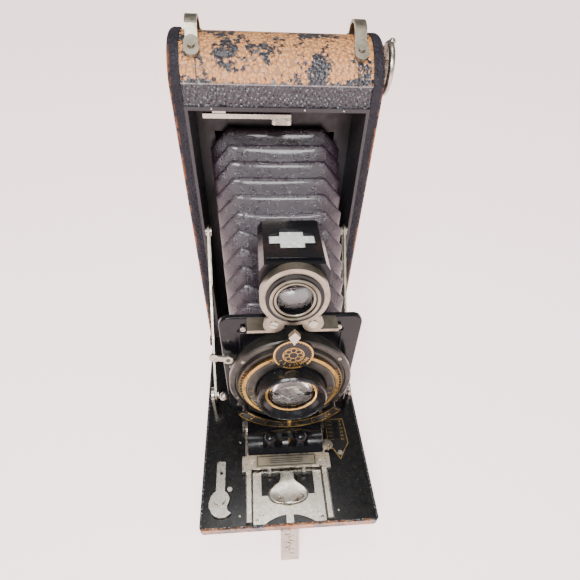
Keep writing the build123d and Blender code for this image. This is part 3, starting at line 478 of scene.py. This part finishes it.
def bellows_ring(y):
    """Chamfered rectangle of points round the bellows at one depth."""
    t = (BELLOWS_REAR[0] - y) / (BELLOWS_REAR[0] - BELLOWS_FRONT[0])
    _, cx, cz, half_x, half_z = (a + (b - a) * t for a, b in zip(BELLOWS_REAR, BELLOWS_FRONT))
    phase = t * PLEATS
    pleat = min(int(phase), PLEATS - 1)
    wave = 1 - abs(2 * (phase - pleat) - 1)
    wave = math.sin(wave * math.pi / 2) ** 1.25
    inset = PLEAT_DEPTH * (1 - wave)
    chamfer = 6.5 + 3.0 * wave
    wx, wz = half_x - inset, half_z - inset
    corners = [
        (-wx + chamfer, wz), (wx - chamfer, wz), (wx, wz - chamfer), (wx, -wz + chamfer),
        (wx - chamfer, -wz), (-wx + chamfer, -wz), (-wx, -wz + chamfer), (-wx, wz - chamfer),
    ]
    row = []
    for k, (a, b) in enumerate(corners):
        c, d = corners[(k + 1) % 8]
        count = 10 if k % 2 == 0 else 3
        for i in range(count):
            s = i / count
            bow = math.sin(math.pi * s) * (0.9 * wave - 0.5) if k % 2 == 0 else 0.0
            x, z = a + (c - a) * s, b + (d - b) * s
            out = Vector((d - b, -(c - a)))
            out = -out.normalized() if out.dot(Vector((x, z))) < 0 else out.normalized()
            drift = pleat_sway[pleat] * wave * math.sin(2 * math.pi * s + pleat)
            drop = sag(cx + x, y) if z > 0.7 * wz else 0.0
            row.append((cx + x - out.x * bow * 0.6, y + drift * 0.8, cz + z - out.y * bow * 0.6 - drop))
    return row


def bellows_part(name, start, stop, rings):
    """One stretch of pleats, built as one fixed mesh."""
    mesh = bmesh.new()
    rows = []
    for i in range(rings + 1):
        y = start + (stop - start) * i / rings
        rows.append([mesh.verts.new(Vector(p) * UNIT) for p in bellows_ring(y)])
    for here, there in zip(rows, rows[1:]):
        for k in range(len(here)):
            j = (k + 1) % len(here)
            mesh.faces.new((here[k], here[j], there[j], there[k]))
    bmesh.ops.recalc_face_normals(mesh, faces=mesh.faces)
    data = bpy.data.meshes.new(name)
    mesh.to_mesh(data)
    mesh.free()
    data.materials.append(MATERIALS["bellows_leather"])
    data.shade_smooth()
    data.set_sharp_from_angle(angle=math.radians(62))
    piece = bpy.data.objects.new(name, data)
    bpy.context.scene.collection.objects.link(piece)
    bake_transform(piece)
    return piece


rear_pleats = bellows_part("bellows_rear_pleats", BELLOWS_REAR[0], BELLOWS_SPLIT, 78)
bellows_part("bellows_front_pleats", BELLOWS_SPLIT, BELLOWS_FRONT[0], 70)
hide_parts("bellows")


# --------------------------------------------------- shutter and its dials
def shutter_face():
    face = facing(RINGS_LOW.y)
    marks = Piece("shutter_marks", "brass", "standard", "brass")
    marks.strip(face, arc(20.9, 200, 340), arc(21.2, 200, 340), 0.0, 0.12)
    marks.strip(face, arc(18.3, 200, 340), arc(18.6, 200, 340), 0.0, 0.12)
    for side, texts in ((180, ("1", "2", "5")), (0, ("50", "25", "10"))):
        for k, text in enumerate(texts):
            angle = side + (-24 + 12 * k) * (1 if side == 0 else -1)
            marks.number(face, text, *polar(19.75, angle), 2.0, angle - 90 if side == 0 else angle + 90)
    marks.finish()
    slots = Piece("shutter_slots", "dial_black", "standard", "black_enamel")
    step = facing(RINGS_LOW.y + 2.3)
    for start in (150, -18):
        slots.strip(step, arc(24.0, start, start + 48), arc(25.6, start, start + 48), 0.0, 0.14)
    slots.finish()
    gold = Piece("shutter_gold_lines", "brass", "standard", "brass")
    for start in (150, -18):
        for r in (24.0, 25.45):
            gold.strip(step, arc(r, start, start + 48), arc(r + 0.18, start, start + 48), 0.14, 0.22)
        for k in range(9):
            t = start + 4 + 5 * k
            gold.strip(step, arc(24.2, t, t + 0.5, 2), arc(25.3, t, t + 0.5, 2), 0.14, 0.22)
    gold.finish()
    screws = Piece("shutter_screws", "nickel", "standard", "nickel")
    outer = facing(RINGS_LOW.y + 3.5)
    for angle in (38, 142, 200, 338):
        screws.screw(outer, *polar(28.8, angle), 0.85, 0.4, angle)
    screws.finish()


def speed_dial_face():
    dial = facing(-2.5, z=LENS[1] + 26.5)
    gold = Piece("speed_dial_marks", "brass", "standard", "brass")
    gold.strip(dial, arc(8.35, 0, 360, 64), arc(8.95, 0, 360, 64), 0.0, 0.25)
    gold.strip(dial, arc(4.6, 0, 360, 48), arc(4.85, 0, 360, 48), 0.0, 0.2)
    for k, text in enumerate(("1", "2", "5", "25", "50", "100")):
        angle = 210 + 24 * k
        gold.number(dial, text, *polar(6.6, angle), 2.3, angle + 90)
    for k in range(8):
        centre = polar(3.1, 45 * k)
        gold.strip(dial, arc(1.15, 0, 360, 12, centre), arc(1.4, 0, 360, 12, centre), 0.0, 0.18)
    for k in range(36):
        t = 10 * k
        gold.strip(dial, arc(7.9, t, t + 2.2, 2), arc(8.35, t, t + 2.2, 2), 0.0, 0.16)
    gold.finish()


def aperture_face():
    plate = facing(-2.3)
    gold = Piece("aperture_marks", "brass", "standard", "brass")
    for r in (27.5, 32.55):
        gold.strip(plate, arc(r, 214.6, 325.4, 48), arc(r + 0.35, 214.6, 325.4, 48), 0.0, 0.2)
    for angle in (214.6, 325.0):
        gold.strip(plate, arc(27.6, angle, angle + 0.7, 2), arc(32.8, angle, angle + 0.7, 2), 0.0, 0.2)
    texts = ("4", "8", "16", "32", "64", "128")
    for k, text in enumerate(texts):
        angle = 228 + 84 * k / (len(texts) - 1)
        gold.number(plate, text, *polar(30.9, angle), 2.5, angle + 90)
        tick = (angle - 0.4, angle + 0.4, 2)
        gold.strip(plate, arc(27.9, *tick), arc(29.1, *tick), 0.0, 0.16)
    gold.finish()


def lens_trim():
    face = facing(-8.6)
    rim = Piece("lens_gold_rim", "brass", "standard", "brass")
    cell = facing(-4.4)
    rim.turned(cell, [(12.7, 0.0), (12.9, 0.5), (12.4, 0.75), (11.75, 0.5), (11.72, -0.1)], 72)
    rim.finish()
    grip = Piece("lens_knurl", "chipped_black", "standard", "black_enamel")
    for k in range(72):
        t = 5 * k
        grip.strip(face, arc(16.5, t, t + 2.4, 1), arc(17.12, t, t + 2.4, 1), -3.4, -1.0)
    grip.finish()


def lens_board_trim():
    board = facing(BOARD_LOW.y, x=LENS[0], z=52.5)
    screws = Piece("board_screws", "nickel", "standard", "nickel")
    for a, b in ((-22.0, 29.0), (22.0, 29.0), (-27.6, -28.6), (27.6, -28.6), (-29.0, 4.0), (29.0, 4.0)):
        screws.screw(board, a, b, 1.25, 0.9, 40 + 9 * a)
    screws.finish()
    frame_line = Piece("board_moulding", "black_enamel", "standard", "black_enamel")
    edge = [(-24.2, -26.7), (24.2, -26.7), (24.2, 26.7), (-24.2, 26.7)]
    inner = [(a * 0.965, b * 0.965) for a, b in edge]
    frame_line.strip(board, inner + inner[:1], edge + edge[:1], -0.1, 0.55)
    frame_line.finish(bevel=0.15)
    bracket = facing(3.5, z=90.4)
    lobes = Piece("bracket_screws", "nickel", "standard", "nickel")
    for side in (-1, 1):
        lobes.screw(bracket, side * 8.4, 0.0, 1.9, 0.5, 20 * side)
    lobes.finish()


# ----------------------------------------------------------------- finder
def finder_trim():
    front = facing(2.8, z=FINDER_Z)
    ring = Piece("finder_ring", "dull_nickel", "finder", "nickel")
    ring.turned(front, [(10.2, 0.0), (10.3, 0.7), (9.7, 1.0), (9.1, 0.7), (9.0, 0.0)], 72)
    ring.turned(front, [(8.3, 0.0), (8.4, 0.35), (7.9, 0.5), (7.5, 0.2)], 72)
    ring.finish()
    top = flat(FINDER_Z + 13.0, x=LENS[0], y=26.0)
    # a whitish sheet under the top window, with the glare of its reflection painted on
    screen = Piece("finder_glare_sheet", "finder_glare_paint", "finder", "glass")
    screen.prism(top, [(-11.6, -9.0), (11.6, -9.0), (11.6, 9.0), (-11.6, 9.0)], -1.15, -0.75)
    screen.finish()
    rim = Piece("finder_cross_rim", "black_enamel", "finder", "black_enamel")
    cross = [
        (-5.0, -6.6), (5.0, -6.6), (5.0, -3.4), (9.4, -3.4), (9.4, 3.4), (5.0, 3.4),
        (5.0, 6.6), (-5.0, 6.6), (-5.0, 3.4), (-9.4, 3.4), (-9.4, -3.4), (-5.0, -3.4),
    ]
    wide = [(a + math.copysign(0.5, a), b + math.copysign(0.5, b)) for a, b in cross]
    rim.strip(top, cross + cross[:1], wide + wide[:1], -0.2, 0.3)
    hood = [(-11.0, -14.6), (11.0, -14.6), (11.0, -13.6), (-11.0, -13.6)]
    rim.prism(top, hood, 0.0, 0.9)
    rim.finish(bevel=0.12)


# -------------------------------------------------------- bed and standard
def scale_face():
    top = flat(units("focus_scale_plate")[1].z)
    gold = Piece("distance_marks", "brass", "bed", "brass")
    outline = [
        (25.2, 8.6), (36.0, 8.6), (36.8, -8.4), (34.3, -11.9), (30.8, -18.2), (27.8, -12.2), (25.0, -9.3),
    ]
    inner = [(31.0 + (a - 31.0) * 0.93, -2.0 + (b + 2.0) * 0.96) for a, b in outline]
    gold.strip(top, inner + inner[:1], outline + outline[:1], 0.0, 0.18)
    for k, text in enumerate(("6", "8", "10", "15", "25", "50")):
        y = 7.0 - 2.5 * k
        gold.number(top, text, 34.0, y, 2.0)
        gold.prism(top, [(26.2, y - 0.12), (28.6, y - 0.12), (28.6, y + 0.12), (26.2, y + 0.12)], 0.0, 0.15)
    gold.finish()


def carriage_trim():
    low, high = units("number_plate")
    plate = flat(high.z, y=(low.y + high.y) / 2)
    marks = Piece("number_plate_border", "dial_black", "standard", "black_enamel")
    edge = [(-15.7, -2.9), (15.7, -2.9), (15.7, 2.9), (-15.7, 2.9)]
    inner = [(a * 0.975, b * 0.87) for a, b in edge]
    marks.strip(plate, inner + inner[:1], edge + edge[:1], 0.0, 0.1)
    for b in (-1.1, 0.0, 1.1):
        marks.prism(plate, [(-9.0, b - 0.16), (9.0, b - 0.16), (9.0, b + 0.16), (-9.0, b + 0.16)], 0.0, 0.1)
    marks.finish()
    crest_z = units("carriage_block")[1].z
    screws = Piece("carriage_screws", "nickel", "standard", "nickel")
    ledge = flat(units("carriage_base")[1].z)
    for side in (-1, 1):
        screws.screw(ledge, side * 18.6, -18.4, 1.3, 0.7, 30 + 40 * side)
        screws.screw(ledge, side * 21.6, 14.0, 0.9, 0.6, 70)
    screws.finish()
    ribs = Piece("carriage_mouldings", "black_enamel", "standard", "black_enamel")
    crest = flat(crest_z)
    for side in (-1, 1):
        row = [(side * 18.9, -3.0), (side * 19.5, -3.0), (side * 19.5, 11.0), (side * 18.9, 11.0)]
        ribs.prism(crest, row if side > 0 else row[::-1], -0.1, 0.35)
    ribs.finish(bevel=0.1)


LEVER_STEPS = 14  # faces across the thumb lever


def focus_thumb_piece():
    """Scooped thumb lever with slightly raised side edges, in place of the flat one."""
    mesh = bmesh.new()
    low, high = units("focus_lever")
    rows = []
    for i in range(19):
        v = i / 18
        y = high.y - 0.9 + (low.y - high.y + 0.9) * v
        if v < 0.36:
            half = 4.5 - 0.9 * math.sin(math.pi * v / 0.36)
        else:
            w = (v - 0.36) / 0.64
            half = 4.5 + 6.3 * math.sin(min(1.0, w * 1.9) * math.pi / 2)
            half *= math.sqrt(max(0.0, 1 - max(0.0, (w - 0.42) / 0.58) ** 2.4))
        half = max(half, 0.25)
        dish = 0.0 if v < 0.36 else -0.32 * math.sin(math.pi * min(1.0, (v - 0.36) / 0.6))
        z = low.z + 0.75 + dish
        across = [-1 + 2 * k / LEVER_STEPS for k in range(LEVER_STEPS + 1)]
        rows.append([mesh.verts.new(Vector((half * a, y, z + 0.3 * abs(a) ** 3)) * UNIT) for a in across])
    for here, there in zip(rows, rows[1:]):
        for k in range(LEVER_STEPS):
            mesh.faces.new((here[k], here[k + 1], there[k + 1], there[k]))
    data = bpy.data.meshes.new("focus_thumb_lever")
    bmesh.ops.recalc_face_normals(mesh, faces=mesh.faces)
    mesh.to_mesh(data)
    mesh.free()
    data.materials.append(MATERIALS["nickel"])
    data.shade_smooth()
    piece = bpy.data.objects.new("focus_thumb_lever", data)
    bpy.context.scene.collection.objects.link(piece)
    thick = piece.modifiers.new("plate", "SOLIDIFY")
    thick.thickness = 0.55 * UNIT
    thick.offset = 0.0
    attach(piece, "focus_lock")
    return piece


def bed_trim():
    deck = flat(PANEL_TOP)
    rivets = Piece("bed_rivets", "nickel", "bed", "nickel")
    for side in (-1, 1):
        for y in (-46.0, -4.0, 34.0, 66.0):
            rivets.rivet(deck, side * 25.2, y, 0.8, 0.5)
    plate = flat(units("track_plate")[1].z)
    for a, b in ((-16.4, -20.0), (16.4, -20.0), (-16.4, -49.2), (16.4, -49.2)):
        rivets.rivet(plate, a, b, 0.75, 0.35)
    rivets.finish()
    window = Piece("track_window_frame", "nickel", "bed", "nickel")
    edge = [(-14.9, -37.9), (14.9, -37.9), (14.9, -23.1), (-14.9, -23.1)]
    inner = [(-13.9, -36.9), (13.9, -36.9), (13.9, -24.1), (-13.9, -24.1)]
    window.strip(plate, inner + inner[:1], edge + edge[:1], 0.0, 0.3)
    window.finish(bevel=0.08)


def foot_relief():
    """A plain scroll in low relief down the middle of the foot."""
    low = units("foot")[0]
    top, tip = Vector((0, -49.0, -1.9)), Vector((0, -60.7, low.z))
    run = (tip - top).normalized()
    leg = Plane(top, (1, 0, 0), -run)
    scroll = Piece("foot_scroll", "nickel", "foot", "nickel")
    for k in range(4):
        centre = (1.1 if k % 2 else -1.1, -4.4 - 4.2 * k)
        start = 60 if k % 2 else 120
        row = arc(1.9, start, start + (250 if k % 2 else -250), 22, centre)
        inner = arc(1.35, start, start + (250 if k % 2 else -250), 22, centre)
        scroll.strip(leg, inner, row, 0.75, 1.15)
    scroll.finish()


# ------------------------------------------------------------------ body
def body_trim():
    seam = Piece("crown_seams", "leather_black", "camera_body", "leather_black")
    top = units("upper_chamber_shell")[1].z
    half = HALF_DEPTH - SKIN_INSET
    radius = (half**2 + CROWN_RISE**2) / (2 * CROWN_RISE)
    end = Plane((0, FRONT_Y + HALF_DEPTH, top - radius), (0, -1, 0), (0, 0, 1))
    spread = math.degrees(math.asin(half / radius))
    for side in (-1, 1):
        outer = arc(radius + 0.25, 90 - spread, 90 + spread, 40)
        inner = arc(radius - 0.3, 90 - spread, 90 + spread, 40)
        seam.strip(end, inner, outer, side * 35.2 - 0.25, side * 35.2 + 0.25)
    seam.finish()
    lip = Piece("opening_rivets", "nickel", "camera_body", "nickel")
    wall = Plane((0, FRONT_Y, LINER_HIGH.z - 0.75), (1, 0, 0), (0, 0, 1))
    for a in (-30.0, 12.0, 30.0):
        lip.rivet(wall, a, 0.0, 0.5, 0.3)
    lip.finish()


def film_roll():
    """Backing paper wound on the supply spool."""
    low, high = units("supply_spool")
    axis = Plane((0, (low.y + high.y) / 2, (low.z + high.z) / 2), (0, 0, 1), (0, 1, 0))
    roll = Piece("film_roll", "backing_paper", "supply", "leather_black")
    roll.turned(axis, [(5.6, -33.6), (8.6, -33.6), (8.6, 33.6), (5.6, 33.6)], 48)
    roll.finish()


shutter_face()
speed_dial_face()
aperture_face()
lens_trim()
lens_board_trim()
finder_trim()
scale_face()
carriage_trim()
thumb = focus_thumb_piece()
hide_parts("focus_lever")
bed_trim()
foot_relief()
body_trim()
film_roll()


# -------------------------------------------------- floor, light and camera
def stage():
    low = cad_box[0][2]
    data = bpy.data.meshes.new("floor")
    half = 4.0
    corners = [(-half, -half, low), (half, -half, low), (half, half, low), (-half, half, low)]
    data.from_pydata(corners, [], [(0, 1, 2, 3)])
    s = Shader("floor_paper", Emission_Color=(1.0, 0.76, 0.74, 1.0), Emission_Strength=2.35)
    s.color(s.mix(s.noise(3.0), (0.80, 0.70, 0.69), (0.82, 0.72, 0.71)))
    s.rough(s.step(s.noise(30.0), 0.3, 0.7, 0.85, 0.95))
    data.materials.append(s.material)
    floor = bpy.data.objects.new("floor", data)
    bpy.context.scene.collection.objects.link(floor)


def area_light(name, place, target, size, power, tint=(1.0, 1.0, 1.0)):
    data = bpy.data.lights.new(name, "AREA")
    data.size = size
    data.energy = power
    data.color = tint
    light = bpy.data.objects.new(name, data)
    light.location = place
    light.rotation_euler = (Vector(target) - Vector(place)).to_track_quat("-Z", "Y").to_euler()
    bpy.context.scene.collection.objects.link(light)


SENSOR = 36.0
FOCAL_SHARE = 385.0 / 580.0  # focal length over the sensor's width
SHIFT_SHARE = 80.0 / 580.0  # vertical shift over the sensor's width


def camera():
    """Looks down on the front of the camera from just above its lens side."""
    place = Vector((-12.1, -116.7, 202.6)) * UNIT
    yaw, pitch, roll = (math.radians(a) for a in (6.7, 49.6, 3.1))
    ahead = Vector((math.sin(yaw) * math.cos(pitch), math.cos(yaw) * math.cos(pitch), -math.sin(pitch)))
    right = Vector((math.cos(yaw), -math.sin(yaw), 0))
    up = right.cross(ahead)
    across = right * math.cos(roll) + up * math.sin(roll)
    above = up * math.cos(roll) - right * math.sin(roll)
    data = bpy.data.cameras.new("camera")
    data.sensor_width = SENSOR
    data.lens = SENSOR * FOCAL_SHARE
    data.shift_y = SHIFT_SHARE
    data.clip_start = 0.01
    view = bpy.data.objects.new("camera", data)
    view.matrix_world = Matrix.Translation(place) @ Matrix((across, above, -ahead)).transposed().to_4x4()
    bpy.context.scene.collection.objects.link(view)
    bpy.context.scene.camera = view


stage()
area_light("key", (-0.35, -0.75, 0.95), (0, 0.05, 0.08), 0.34, 16.0)
area_light("lamp", (0.03, -0.25, 0.42), (0, 0.06, 0.1), 0.09, 0.9)
area_light("fill", (0.75, -0.45, 0.60), (0, 0.05, 0.08), 0.6, 1.9)
area_light("crown", (0.0, 0.15, 1.15), (0, 0.1, 0.1), 0.45, 4.2)
world = bpy.data.worlds.new("studio")
world.use_nodes = True
world.node_tree.nodes["Background"].inputs["Color"].default_value = (0.95, 0.93, 0.93, 1.0)
world.node_tree.nodes["Background"].inputs["Strength"].default_value = 0.30
bpy.context.scene.world = world
camera()
